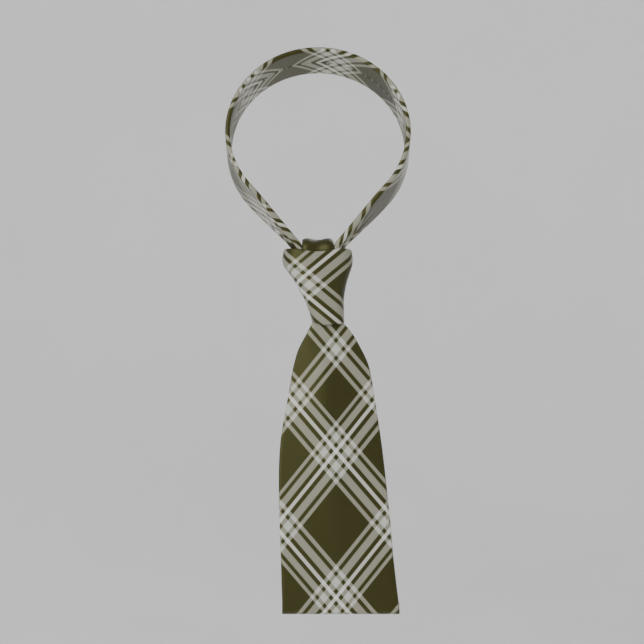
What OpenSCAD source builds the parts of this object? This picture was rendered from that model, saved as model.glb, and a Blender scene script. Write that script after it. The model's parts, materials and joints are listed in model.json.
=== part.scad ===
// Necktie, tied in a four-in-hand knot and hanging, with its blade folded for display.
// +Z is up, -Y is the front, and the origin is the centre of the neck loop.

/* [Neck loop] */
// Radius of the loop, at the middle of the band
loop_r = 66; // [64:0.5:67]
// How far the top of the loop leans back, in degrees
loop_lean = 20; // [18:1:22]
// Width of the band
band_w = 38; // [34:1:38]
// Thickness of the folded band
band_t = 4.4; // [4:0.2:4.4]

/* [Knot] */
// Height of the top edge of the knot
knot_top_z = -80; // [-81:0.5:-80]
// Height of the lower edge of the knot
knot_low_z = -135; // [-136:0.5:-134]
// Thickness of the cloth wrapped round the knot
wrap_t = 2.6; // [2:0.2:2.6]
// How far the knot slides down to open the loop
knot_travel = 40; // [20:5:40]

/* [Blade] */
// Front face of the blade
blade_front_y = -37; // [-37.2:0.1:-36.8]
// Thickness of the folded blade
blade_t = 3.4; // [3:0.1:3.4]
// Height of the folded lower end
fold_z = -342.4; // [-344:0.2:-341]
// Thickness of the printed cloth, with its seam allowance
cloth_t = 0.8; // [0.6:0.1:0.8]
// Height from the fold to the tip tucked up behind it
tip_rise = 52; // [48:1:54]

/* [Tail] */
// Width of the tail at its end
tail_w = 38; // [34:1:40]
// Thickness of the folded tail
tail_t = 2.8; // [2.4:0.1:2.8]

/* [Hidden] */
$fn = 64;

PRINT_DARK = [0.26, 0.25, 0.13];
PRINT_MID = [0.42, 0.41, 0.30];
CANVAS = [0.86, 0.84, 0.78];
SATIN = [0.16, 0.16, 0.09];
THREAD = [0.78, 0.76, 0.66];
LABEL = [0.12, 0.12, 0.12];

gap = 0.1;            // between a lining and the cloth round it
slit_w = 1.4;         // where the two turned edges of the cloth meet
turn_w = 1;           // cloth thickness at a folded edge
stitch_w = 0.5;
stitch_h = 0.3;

// Where the arms of the loop meet the knot, in the plane of the loop
arm_x = 15;
arm_drop = 84;
arm_d = norm([arm_x, arm_drop]);
tangent_a = -acos(arm_x / arm_d) + acos(loop_r / arm_d);
seam_a = 25;          // angle up from level of the two seams in the band
arm_share = 0.92;     // share of each straight arm that stretches

// Depths of the layers behind the blade's front face
blade_back_y = blade_front_y + blade_t;
layer_gap = 0.4;
tail_front_y = blade_back_y + layer_gap;
tail_back_y = tail_front_y + tail_t;
keeper_t = 0.6;
keeper_y = tail_back_y + 0.3;
end_front_y = keeper_y + keeper_t + 0.3;
end_back_y = end_front_y + tail_t;
fold_y = (tail_front_y + end_back_y) / 2;
fold_r = fold_y - blade_front_y;
fold_inner_r = fold_r - blade_t;
fold_axis_z = fold_z + fold_r;
tip_front_y = fold_y + fold_inner_r;
tip_back_y = fold_y + fold_r;
hinge_z = knot_low_z - 5.8;

// The loop takes in 1.5 mm of the tail for each millimetre that the knot slides
strap_ratio = 1.5;
strap_travel = strap_ratio * knot_travel;
strap_top_z = knot_low_z - 1;
tail_top_z = strap_top_z - strap_travel - 4;
tail_end_z = knot_low_z - strap_travel - 3.5;
tail_top_x = 6.5;
tail_slant = 0.048;   // how far the tail leads to the right for each millimetre down
lining_rise = 60;     // height of the lining in the tail's end

// Edges of the blade as [x, distance below the knot], from the knot to the fold
drop_end = knot_low_z - fold_axis_z;
fold_left = -26;
fold_right = 58.5;
left_edge = [[-7, 0], [-9, 7], [-13.5, 16], [-18, 31], [-22, 54], [-27, 83], [-29, 112],
    [-28, 145], [-27, 170], [fold_left, drop_end]];
right_edge = [[20, 0], [23, 7], [30, 16], [37, 31], [41, 54], [45.5, 83], [49, 112],
    [52.5, 145], [55.5, 170], [fold_right, drop_end]];
tip_x = 19.5;
shoulder_rise = 9;

// The upside-down V that opens behind the blade, just above the fold
v_top = fold_axis_z + 62;
v_half = 13;
v_x = (fold_left + fold_right) / 2;
wide = 200;           // more than the width of any piece

// Sections of the knot from its top down: [z, middle x, half width, middle y, half depth]
knot_sections = [
    [knot_top_z, 0, 24, -29, 14],
    [-87, 0, 25.2, -29, 14],
    [-93, 0.8, 24, -29.2, 13.8],
    [-99, 2.2, 20.6, -29.6, 13.2],
    [-107, 3, 17.4, -30, 12.6],
    [-117, 4.4, 15, -30.4, 11.8],
    [-127, 6, 13, -30.6, 10.6],
    [knot_low_z, 7, 12, -30.6, 9.6]
];
knot_sides = 40;
squareness = 2.6;     // 2 is an ellipse, and more is squarer

function catmull(a, b, c, d, t) =
    0.5 * (2 * b + (c - a) * t + (2 * a - 5 * b + 4 * c - d) * t * t
    + (3 * b - a - 3 * c + d) * t * t * t);
function at(points, i) = points[max(0, min(len(points) - 1, i))];
function smooth(points, steps) = [
    for (i = [0:len(points) - 2], k = [0:steps - 1])
        catmull(at(points, i - 1), at(points, i), at(points, i + 1), at(points, i + 2), k / steps),
    points[len(points) - 1]
];
function reversed(points) = [for (i = [len(points) - 1:-1:0]) points[i]];
function left_points(inset) = [for (p = smooth(left_edge, 4)) [p[0] + inset, knot_low_z - p[1]]];
function right_points(inset) = [for (p = smooth(right_edge, 4)) [p[0] - inset, knot_low_z - p[1]]];

// Draws a flat shape, given as (x, z), as a layer from one depth to another
module layer(front, back) {
    translate([0, back, 0])
        rotate([90, 0, 0])
            linear_extrude(back - front)
                children();
}

// A box between two corners
module block(low, high) {
    translate(low)
        cube(high - low);
}

// The stretch of the blade between two heights
module blade_outline(inset, top, bottom) {
    intersection() {
        polygon(concat(left_points(inset), reversed(right_points(inset))));
        translate([-wide / 2, bottom])
            square([wide, top - bottom]);
    }
}

// The tail is straight, with parallel edges, centred behind the blade
function tail_x(z) = tail_top_x + (knot_low_z - z) * tail_slant;
module tail_outline(inset, top, bottom, width) {
    half = width / 2 - inset;
    polygon([
        [tail_x(top) - half, top], [tail_x(top) + half, top],
        [tail_x(bottom) + half, bottom], [tail_x(bottom) - half, bottom]
    ]);
}

// Turns the loop's own plane, with its axis along z, to where it hangs
module in_loop() {
    rotate([90 - loop_lean, 0, 0])
        children();
}

// Flat section of the band, as (radius, width): a folded strip, open along its inner middle
module band_section() {
    difference() {
        translate([loop_r - band_t / 2, -band_w / 2])
            square([band_t, band_w]);
        translate([loop_r - band_t / 2 + cloth_t, -band_w / 2 + turn_w])
            square([band_t - 2 * cloth_t, band_w - 2 * turn_w]);
        translate([loop_r - band_t, -slit_w / 2])
            square([band_t, slit_w]);
    }
}

module band_core() {
    translate([loop_r - band_t / 2 + cloth_t + gap, -band_w / 2 + turn_w + gap])
        square([band_t - 2 * cloth_t - 2 * gap, band_w - 2 * turn_w - 2 * gap]);
}

module arc(from, to) {
    in_loop()
        rotate([0, 0, from])
            rotate_extrude(angle = to - from, $fn = 96)
                children();
}

module neck_panel() {
    color(PRINT_MID)
        arc(seam_a, 180 - seam_a)
            band_section();
}

module blade_side_panel() {
    color(PRINT_DARK)
        arc(180 - seam_a, 180 - tangent_a)
            band_section();
}

module tail_side_panel() {
    color(PRINT_DARK)
        arc(tangent_a, seam_a)
            band_section();
}

module neck_interlining() {
    color(CANVAS)
        arc(tangent_a, 180 - tangent_a)
            band_core();
}

// A narrow ridge across the outside of the band where two panels are joined
module panel_seams() {
    ridge_a = 0.6;
    ridge_h = 0.3;
    color(PRINT_DARK)
        for (a = [seam_a, 180 - seam_a])
            arc(a - ridge_a, a + ridge_a)
                translate([loop_r + band_t / 2, -band_w / 2 + turn_w])
                    square([ridge_h, band_w - 2 * turn_w]);
}

// Short stitches that close the slit along the inside of the band
module neck_slip_stitch() {
    step = 8;
    reach = 4;
    margin = 4.5;
    color(THREAD)
        in_loop()
            for (a = [tangent_a + margin:step:180 - tangent_a - margin])
                rotate([0, 0, a])
                    translate([loop_r - band_t / 2 - stitch_h, -stitch_w / 2, -reach / 2])
                        cube([stitch_h, stitch_w, reach]);
}

// A straight arm of the loop, from the ring down towards the knot, drawn in together at the knot
module arm(side) {
    end_w = 14;
    end_t = 5.6;
    top = loop_r * [cos(tangent_a), sin(tangent_a)];
    foot = [arm_x, -arm_drop];
    low = top + (foot - top) * arm_share;
    turn = atan2((foot - top)[1], (foot - top)[0]);
    sliver = 0.01;
    in_loop()
        mirror([side < 0 ? 1 : 0, 0, 0])
            hull() {
                translate([top[0], top[1], 0])
                    rotate([0, 0, turn])
                        translate([0, -band_t / 2, -band_w / 2])
                            cube([sliver, band_t, band_w]);
                translate([low[0], low[1], 0])
                    rotate([0, 0, turn])
                        translate([0, -end_t / 2, -end_w / 2])
                            cube([sliver, end_t, end_w]);
            }
}

module active_arm() {
    color(PRINT_MID)
        arm(-1);
}

module passive_arm() {
    color(PRINT_MID)
        arm(1);
}

// A rounded oblong ring of points at one height of the knot, shrunk by inset
function power(v, e) = sign(v) * pow(abs(v), e);
function knot_ring(s, inset, from, to) = [
    for (i = [0:knot_sides / 2])
        let (a = from + (to - from) * i / (knot_sides / 2), e = 2 / squareness)
        [s[1] + (s[2] - inset) * power(cos(a), e), s[3] + (s[4] - inset) * power(sin(a), e), s[0]]
];

// Half of the wrapped cloth: a curved wall between two angles round the knot
module knot_wall(from, to) {
    rings = [
        for (s = reversed(smooth(knot_sections, 2)))
            concat(knot_ring(s, 0, from, to), reversed(knot_ring(s, wrap_t, from, to)))
    ];
    n = len(rings[0]);
    m = len(rings);
    polyhedron(
        points = [for (r = rings) each r],
        faces = [
            [for (k = [0:n - 1]) k],
            [for (k = [n - 1:-1:0]) (m - 1) * n + k],
            for (j = [0:m - 2], k = [0:n - 1])
                [j * n + k, (j + 1) * n + k, (j + 1) * n + (k + 1) % n],
            for (j = [0:m - 2], k = [0:n - 1])
                [j * n + k, (j + 1) * n + (k + 1) % n, j * n + (k + 1) % n]
        ]
    );
}

module knot_front_wrap() {
    color(PRINT_DARK)
        knot_wall(180, 360);
}

module knot_back_wrap() {
    color(PRINT_MID)
        knot_wall(0, 180);
}

// The strand that comes up behind the knot, over its top and down inside the front wrap
module knot_top_fold() {
    arch_r = 11;
    arch_t = 4.6;
    arch_y = -29;
    arch_z = -84.5;
    half_w = 11;
    color(PRINT_MID)
        difference() {
            translate([-half_w, arch_y, arch_z])
                rotate([0, 90, 0])
                    cylinder(h = 2 * half_w, r = arch_r);
            translate([-half_w - 1, arch_y, arch_z])
                rotate([0, 90, 0])
                    cylinder(h = 2 * half_w + 2, r = arch_r - arch_t);
            block([-2 * half_w, arch_y - 2 * arch_r, arch_z - 2 * arch_r],
                [2 * half_w, arch_y + 2 * arch_r, arch_z]);
        }
}

// A strand that tapers between two flat ends: [middle x, width, front y, back y, z]
module strand(top, low) {
    sliver = 0.01;
    hull()
        for (e = [top, low])
            translate([e[0] - e[1] / 2, e[2], e[4]])
                cube([e[1], e[3] - e[2], sliver]);
}

module knot_throat() {
    color(PRINT_DARK)
        strand([0, 20, -39.4, -35.6, -84.9], [7, 12, -36.4, -33.6, knot_low_z - 0.2]);
}

module knot_inner_turn() {
    color(PRINT_MID)
        strand([2.2, 20, -24, -20.8, -100], [5.2, 12, -26.2, -23, -122]);
}

module narrow_strand() {
    color(PRINT_DARK)
        strand([15, 5.6, -33.6, -22, -80.6], [7, 16, -33.2, -30.4, knot_low_z - 0.2]);
}

module active_strand() {
    color(PRINT_MID)
        strand([-15, 5.6, -33.6, -22, -80.6], [-6, 7, -32, -25, -106]);
}

// The short neck of the blade that bends as it lifts
module blade_neck() {
    color(PRINT_DARK)
        layer(blade_front_y + cloth_t / 2, blade_back_y)
            blade_outline(2, knot_low_z - 0.5, hinge_z);
}

// The printed cloth, turned over at both edges so that they meet behind, and opening
// towards the lower end in a long upside-down V
module blade_shell() {
    seam_top_x = tail_x(hinge_z);
    color(PRINT_DARK)
        difference() {
            layer(blade_front_y, blade_back_y)
                blade_outline(0, hinge_z, fold_axis_z);
            layer(blade_front_y + cloth_t, blade_back_y - cloth_t)
                blade_outline(turn_w, hinge_z - turn_w, fold_axis_z - 1);
            layer(blade_back_y - cloth_t - gap, blade_back_y + 1)
                polygon([
                    [seam_top_x - slit_w / 2, hinge_z - 1], [seam_top_x + slit_w / 2, hinge_z - 1],
                    [tail_x(v_top) + slit_w / 2, v_top], [v_x + v_half, fold_axis_z - 1],
                    [v_x - v_half, fold_axis_z - 1], [tail_x(v_top) - slit_w / 2, v_top]
                ]);
        }
}

module blade_interlining() {
    color(CANVAS)
        layer(blade_front_y + cloth_t + gap, blade_back_y - cloth_t - 3 * gap)
            blade_outline(turn_w + gap, hinge_z - turn_w - gap, fold_axis_z);
}

// The lining seen through the open V
module blade_tipping() {
    top = v_top - 4;
    half = v_half - 1.4;
    color(SATIN)
        layer(blade_back_y - cloth_t - gap, blade_back_y - cloth_t / 2)
            polygon([
                [tail_x(top), top], [v_x + half, fold_axis_z], [v_x - half, fold_axis_z]
            ]);
}

// A row of short stitches across a slit, from one height down to another
module stitch_row(top, bottom, y, reach) {
    step = 9;
    for (z = [top:-step:bottom])
        block([tail_x(z) - reach / 2, y, z - stitch_w], [tail_x(z) + reach / 2, y + stitch_h, z]);
}

module blade_slip_stitch() {
    color(THREAD)
        stitch_row(hinge_z - 8, fold_axis_z + 76, blade_back_y, 3);
}

module blade_bar_tack() {
    tack_w = 9;
    tack_h = 1.4;
    z = fold_axis_z + 64;
    color(THREAD)
        block([tail_x(z) - tack_w / 2, blade_back_y, z - tack_h],
            [tail_x(z) + tack_w / 2, blade_back_y + stitch_h, z]);
}

// A flat sleeve of cloth sewn to the back of the blade, which holds the tail
module keeper_loop() {
    top = -224;
    height = 11;
    half = tail_w / 2 + 0.6;
    foot_w = 3;
    x = tail_x(top - height / 2);
    color(PRINT_MID)
        difference() {
            block([x - half - foot_w, blade_back_y, top - height],
                [x + half + foot_w, keeper_y + keeper_t, top]);
            block([x - half, blade_back_y - 1, top - height - 1],
                [x + half, keeper_y, top + 1]);
            for (side = [-1, 1])
                translate([x + side * (half + foot_w / 2 + keeper_t), 0, 0])
                    block([-foot_w / 2, blade_back_y + keeper_t, top - height - 1],
                        [foot_w / 2, keeper_y + keeper_t + 1, top + 1]);
        }
}

// A plain woven label with no words, sewn flat beside the seam
module blank_label() {
    label_w = 12;
    label_h = 26;
    top = -246;
    x = tail_x(top) - tail_w / 2 - label_w - 3;
    color(LABEL)
        block([x, blade_back_y, top - label_h], [x + label_w, blade_back_y + 0.4, top]);
}

// Half a tube round the fold's axis, as a stack of layers turns over
module half_turn(outer, inner, from_x, to_x) {
    translate([from_x, fold_y, fold_axis_z])
        rotate([0, 90, 0])
            difference() {
                cylinder(h = to_x - from_x, r = outer);
                translate([0, 0, -1])
                    cylinder(h = to_x - from_x + 2, r = inner);
                translate([-2 * outer, -2 * outer, -1])
                    cube([2 * outer, 4 * outer, to_x - from_x + 2]);
            }
}

module blade_fold() {
    color(PRINT_DARK)
        half_turn(fold_r, fold_r - cloth_t, fold_left, fold_right);
}

module fold_interlining() {
    color(CANVAS)
        half_turn(fold_r - cloth_t - gap, fold_inner_r + gap, fold_left + turn_w, fold_right - turn_w);
}

// The tail's upper end, which is drawn up into the knot
module tail_strap() {
    top_half = 8;
    color(PRINT_MID)
        layer(tail_front_y, tail_back_y)
            polygon([
                [tail_x(strap_top_z) - top_half, strap_top_z],
                [tail_x(strap_top_z) + top_half, strap_top_z],
                [tail_x(tail_top_z) + tail_w / 2, tail_top_z + gap],
                [tail_x(tail_top_z) - tail_w / 2, tail_top_z + gap]
            ]);
}

// The pointed end of the blade, folded up behind it
module tip_outline(inset) {
    left = fold_left + inset;
    right = fold_right - inset;
    polygon([
        [left, fold_axis_z], [left, fold_axis_z + shoulder_rise],
        [tip_x, fold_axis_z + tip_rise - inset * 1.4], [right, fold_axis_z + shoulder_rise],
        [right, fold_axis_z]
    ]);
}

module tip_shell() {
    color(PRINT_DARK)
        layer(tip_back_y - cloth_t, tip_back_y)
            tip_outline(0);
}

module tip_interlining() {
    color(CANVAS)
        layer(tip_front_y + 2 * cloth_t, tip_back_y - cloth_t - gap)
            tip_outline(turn_w);
}

// The edge of the printed cloth, turned over round the lining
module tip_hem() {
    hem_w = 8;
    color(PRINT_DARK)
        layer(tip_front_y, tip_front_y + cloth_t - gap)
            difference() {
                tip_outline(0);
                tip_outline(hem_w);
            }
}

module tip_tipping() {
    color(SATIN)
        layer(tip_front_y + cloth_t, tip_front_y + 2 * cloth_t - gap)
            tip_outline(turn_w);
}

// A folded strip with a slit along its back, round a core
module tail_sleeve(top, bottom, front, back) {
    difference() {
        layer(front, back)
            children(0);
        layer(front + cloth_t, back - cloth_t)
            tail_outline(turn_w, top - turn_w, bottom - 1, tail_w);
        layer(back - cloth_t - gap, back + 1)
            tail_outline(0, top - turn_w, bottom - 1, slit_w);
    }
}

module tail_shell() {
    color(PRINT_DARK)
        tail_sleeve(tail_top_z, fold_axis_z, tail_front_y, tail_back_y)
            tail_outline(0, tail_top_z, fold_axis_z, tail_w);
}

module tail_interlining() {
    color(CANVAS)
        layer(tail_front_y + cloth_t + gap, tail_back_y - cloth_t - gap)
            tail_outline(turn_w + gap, tail_top_z - turn_w - gap, fold_axis_z, tail_w);
}

module tail_slip_stitch() {
    step = 9;
    reach = 2.4;
    thread_h = 0.2;
    color(THREAD)
        for (z = [tail_top_z - 5:-step:fold_axis_z + 4])
            block([tail_x(z) - reach / 2, tail_back_y, z - stitch_w],
                [tail_x(z) + reach / 2, tail_back_y + thread_h, z]);
}

module tail_fold() {
    middle = tail_x(fold_axis_z);
    color(PRINT_DARK)
        half_turn(end_back_y - fold_y, end_front_y - fold_y, middle - tail_w / 2, middle + tail_w / 2);
}

// The pointed end of the tail
module tail_end_outline(inset) {
    middle = tail_x(fold_axis_z);
    half = tail_w / 2 - inset;
    polygon([
        [middle - half, fold_axis_z], [middle + half, fold_axis_z],
        [middle + half, tail_end_z - tail_w / 2], [middle, tail_end_z - inset * 1.4],
        [middle - half, tail_end_z - tail_w / 2]
    ]);
}

module tail_end_shell() {
    color(PRINT_DARK)
        layer(end_back_y - cloth_t, end_back_y)
            tail_end_outline(0);
}

module tail_end_interlining() {
    color(CANVAS)
        layer(end_front_y + cloth_t + gap, end_back_y - cloth_t - gap)
            tail_end_outline(turn_w);
}

// The lining of the tail's end, inside a turned edge
module tail_tipping() {
    color(SATIN)
        layer(end_front_y, end_front_y + cloth_t)
            difference() {
                tail_end_outline(0);
                translate([-wide / 2, fold_axis_z - 1])
                    square([wide, lining_rise + 1]);
            }
}

module tail_bar_tack() {
    tack_w = 7;
    tack_h = 1.2;
    z = fold_axis_z + lining_rise - 2;
    middle = tail_x(fold_axis_z);
    color(THREAD)
        block([middle - tack_w / 2, end_front_y + cloth_t - 0.3, z - tack_h],
            [middle + tack_w / 2, end_front_y + cloth_t, z]);
}

// A small plain tab with no words, at the start of the tail's lining
module care_label() {
    label_w = 14;
    label_h = 22;
    z = fold_axis_z + 30;
    middle = tail_x(fold_axis_z);
    color(CANVAS)
        block([middle - label_w / 2, end_front_y + cloth_t - 0.5, z],
            [middle + label_w / 2, end_front_y + cloth_t - 0.1, z + label_h]);
}

neck_panel();
blade_side_panel();
tail_side_panel();
neck_interlining();
panel_seams();
neck_slip_stitch();
active_arm();
passive_arm();
knot_front_wrap();
knot_back_wrap();
knot_top_fold();
knot_throat();
knot_inner_turn();
narrow_strand();
active_strand();
blade_neck();
blade_shell();
blade_interlining();
blade_tipping();
blade_slip_stitch();
blade_bar_tack();
keeper_loop();
blank_label();
blade_fold();
fold_interlining();
tail_strap();
tip_shell();
tip_interlining();
tip_tipping();
tip_hem();
tail_shell();
tail_interlining();
tail_slip_stitch();
tail_fold();
tail_end_shell();
tail_end_interlining();
tail_tipping();
tail_bar_tack();
care_label();
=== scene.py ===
import json
import math

import bpy
import numpy as np
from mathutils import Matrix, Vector


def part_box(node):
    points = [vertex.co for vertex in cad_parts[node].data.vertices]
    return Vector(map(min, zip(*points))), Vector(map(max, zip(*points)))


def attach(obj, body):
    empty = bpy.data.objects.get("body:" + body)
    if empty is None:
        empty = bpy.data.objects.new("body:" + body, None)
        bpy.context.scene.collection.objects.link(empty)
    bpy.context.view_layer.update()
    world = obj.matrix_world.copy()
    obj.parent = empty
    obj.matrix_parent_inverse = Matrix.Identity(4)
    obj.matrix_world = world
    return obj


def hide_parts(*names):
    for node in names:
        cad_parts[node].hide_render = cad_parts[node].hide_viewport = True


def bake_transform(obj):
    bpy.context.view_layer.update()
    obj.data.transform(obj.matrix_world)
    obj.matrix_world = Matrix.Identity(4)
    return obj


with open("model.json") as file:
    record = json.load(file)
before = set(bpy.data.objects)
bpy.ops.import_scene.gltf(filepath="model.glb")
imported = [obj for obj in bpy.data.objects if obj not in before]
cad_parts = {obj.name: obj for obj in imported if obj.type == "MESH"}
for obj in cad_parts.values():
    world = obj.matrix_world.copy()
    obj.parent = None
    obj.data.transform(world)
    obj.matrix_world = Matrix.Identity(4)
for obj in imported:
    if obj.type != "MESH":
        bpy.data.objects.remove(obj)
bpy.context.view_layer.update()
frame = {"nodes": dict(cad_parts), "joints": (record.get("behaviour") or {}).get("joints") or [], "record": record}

MM = 0.001

# ------------------------ sizes from the frame


def ring_limits(node, least_width):
    """Heights of a CAD node's rings, lowest first, with the x and y limits at each."""
    co = np.array([v.co for v in frame["nodes"][node].data.vertices])
    heights = np.round(co[:, 2], 5)
    rows = []
    for z in np.unique(heights):
        ring = co[heights == z]
        if np.ptp(ring[:, 0]) > least_width and (not rows or z - rows[-1][0] > 0.3 * MM):
            rows.append([z, ring[:, 0].min(), ring[:, 0].max(), ring[:, 1].min(), ring[:, 1].max()])
    return np.array(rows)


blade_low, blade_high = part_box("blade_shell")
tail_low, tail_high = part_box("tail_shell")
end_low, end_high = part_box("tail_end_shell")
tip_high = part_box("tip_shell")[1]
wrap_low, wrap_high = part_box("knot_front_wrap")
arch_low, arch_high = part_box("knot_top_fold")
throat_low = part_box("knot_throat")[0]
keeper_low, keeper_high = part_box("keeper_loop")
label_low, label_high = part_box("blank_label")
care_low, care_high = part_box("care_label")
core_low, core_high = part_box("neck_interlining")
joint = {j["name"]: j for j in frame["joints"]}

KNOT_LOW, KNOT_TOP = wrap_low.z, wrap_high.z
BEND_Z = joint["blade_swing"]["pos_m"][2]
FOLD_Y, FOLD_Z = joint["tip_unfold"]["pos_m"][1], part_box("blade_fold")[1].z
BLADE_Y, BLADE_BACK = blade_low.y, blade_high.y
FOLD_R = FOLD_Y - BLADE_Y
TAIL_Y, TAIL_BACK = tail_low.y, tail_high.y
TAIL_W = end_high.x - end_low.x
CLOTH = 0.7 * MM           # thickness of the printed cloth
SEAM_Z = FOLD_Z + 14 * MM  # where the blade's mesh hands over to the fold's

blade_rows = ring_limits("blade_shell", 22 * MM)
front_rows = ring_limits("knot_front_wrap", 20 * MM)
back_rows = ring_limits("knot_back_wrap", 20 * MM)

# Edges of the blade as it leaves the knot: height above the knot's lower edge, and x
NECK_LEFT = [(-13.5, -12.0), (-7.9, -8.8), (-3.5, -6.6), (-0.3, -5.0), (0.6, -3.4), (8, 0)]
NECK_RIGHT = [(-13.5, 28.9), (-7.2, 25.2), (-3.5, 22.4), (-0.3, 19.8), (0.6, 17.4), (8, 13)]


def edge_line(column, neck):
    below = blade_rows[:, 0] < KNOT_LOW - 17 * MM
    z = np.r_[FOLD_Z - 12 * MM, blade_rows[below, 0], [KNOT_LOW + h * MM for h, x in neck]]
    x = np.r_[blade_rows[0, column], blade_rows[below, column], [x * MM for h, x in neck]]
    fine = np.linspace(z[0], z[-1], 700)
    line = np.interp(fine, z, x)
    window = np.hanning(23)[1:-1] / np.hanning(23).sum()
    soft = np.convolve(np.pad(line, 10, mode="edge"), window, "same")[10:-10]
    return fine, np.where(fine < KNOT_LOW - 1 * MM, soft, line)


LEFT_LINE = edge_line(1, NECK_LEFT)
RIGHT_LINE = edge_line(2, NECK_RIGHT)

# How far the cloth stands in or out from the solid's edges: height above the fold's axis, left and
# right, in millimetres
EASE = np.array([(-9, 0.1, 0.6), (0, 0.1, -0.3), (14, 0.1, -0.7), (30, 0.2, -0.9), (55, 0.3, 0), (88, 0.7, 0),
                 (117, 0.1, 0)]) * MM


def blade_edges(z):
    left = np.interp(z, *LEFT_LINE) + np.interp(z - FOLD_Z, EASE[:, 0], EASE[:, 1])
    return left, np.interp(z, *RIGHT_LINE) + np.interp(z - FOLD_Z, EASE[:, 0], EASE[:, 2])


def tail_middle(z):
    """The tail hangs a little aslant, as the blade does."""
    slant = joint["tail_slide"]["axis"]
    return (end_low.x + end_high.x) / 2 + (z - FOLD_Z) * slant[0] / slant[2]


# ------------------------ plaid, in the cloth's own measure
# The stripes run in two families across the bias. A point's two cloth coordinates are its
# distances, along the tie's length, from the middle of the widest plain gap of each family.

RISE, FALL = 1.25, 1.17    # slopes of the two families on the blade
MEAN = (RISE + FALL) / 2
AXIS_X = 13.0 * MM         # where the pattern is symmetrical across the blade
GAP_Z = -279.2 * MM        # middle of the widest gap down the blade


def blade_cloth(x, z):
    a, b = x - AXIS_X, GAP_Z - z
    return np.stack([b + RISE * a, b - FALL * a], -1)


def turned_cloth(x, z, gap_x, axis_z):
    """The same cloth laid across, as round the knot."""
    a, b = axis_z - z, x - gap_x
    return np.stack([b + MEAN * a, b - MEAN * a], -1)


def strap_cloth(across, along, phase):
    """The same cloth on a strap, from its place across and along it."""
    return np.stack([along - phase + MEAN * across, along - phase - MEAN * across], -1)


# ------------------------ mesh building


def smoothstep(x):
    x = np.clip(x, 0, 1)
    return x * x * (3 - 2 * x)


def new_object(name, verts, faces, material):
    mesh = bpy.data.meshes.new(name)
    mesh.from_pydata([tuple(v) for v in verts], [], faces)
    mesh.update(calc_edges=True)
    mesh.materials.append(material)
    mesh.polygons.foreach_set("use_smooth", [True] * len(mesh.polygons))
    obj = bpy.data.objects.new(name, mesh)
    bpy.context.scene.collection.objects.link(obj)
    return obj


def set_uv(obj, uv):
    """Writes the cloth's own coordinates, in metres, for each vertex."""
    layer = obj.data.uv_layers.new(name="cloth")
    index = np.zeros(len(obj.data.loops), int)
    obj.data.loops.foreach_get("vertex_index", index)
    layer.data.foreach_set("uv", uv.reshape(-1, 2)[index].astype(np.float32).ravel())


def unit(v):
    return v / np.maximum(np.linalg.norm(v, axis=-1, keepdims=True), 1e-12)


def sheet(name, points, uv, material, thickness=CLOTH, toward=None):
    """A sheet of cloth from a grid of points on its outer face, with its thickness behind it.
    toward is the way to its inner face, or None for towards the middle of each row."""
    points, uv = np.array(points), np.array(uv)
    rows, cols = points.shape[:2]
    normal = unit(np.cross(np.gradient(points, axis=0), np.gradient(points, axis=1)))
    inward = points.mean(axis=1, keepdims=True) - points if toward is None else np.array(toward, float)
    flip = (normal * inward).sum() < 0
    if flip:
        normal = -normal
    outer, inner = points.reshape(-1, 3), (points + normal * thickness).reshape(-1, 3)
    n = rows * cols
    index = np.arange(n).reshape(rows, cols)
    a, b = index[:-1, :-1].ravel(), index[:-1, 1:].ravel()
    c, d = index[1:, 1:].ravel(), index[1:, :-1].ravel()
    quads = np.stack([a, b, c, d], -1)
    border = np.r_[index[0, :-1], index[:-1, -1], index[-1, :0:-1], index[:0:-1, 0]]
    following = np.roll(border, -1)
    rims = np.stack([following, border, border + n, following + n], -1)
    faces = np.r_[quads, quads[:, ::-1] + n, rims]
    if not flip:
        faces = faces[:, ::-1]
    obj = new_object(name, np.r_[outer, inner], faces.tolist(), material)
    sharp = set()
    for p, q in zip(border.tolist(), following.tolist()):
        sharp.update([(min(p, q), max(p, q)), (min(p, q) + n, max(p, q) + n)])
    for edge in obj.data.edges:
        p, q = edge.vertices
        edge.use_edge_sharp = (min(p, q), max(p, q)) in sharp
    set_uv(obj, np.concatenate([uv.reshape(-1, 2)] * 2))
    return obj


def level(x, y, z):
    """Points at one height, at the places x across and y deep."""
    return np.stack([x, y + np.zeros_like(x), np.full_like(x, z)], -1)


def flat_layer(name, heights, across, y, material, thickness, toward, way=-1):
    """A flat layer of cloth at a depth y. across gives its places across at a height."""
    points = [level(across(z), y, z) for z in heights]
    uv = [strap_cloth(across(z), way * z, 0) for z in heights]
    return sheet(name, points, uv, material, thickness, toward)


PRESSED = 0.6              # how far a turned edge bulges sideways, against its depth


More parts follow.
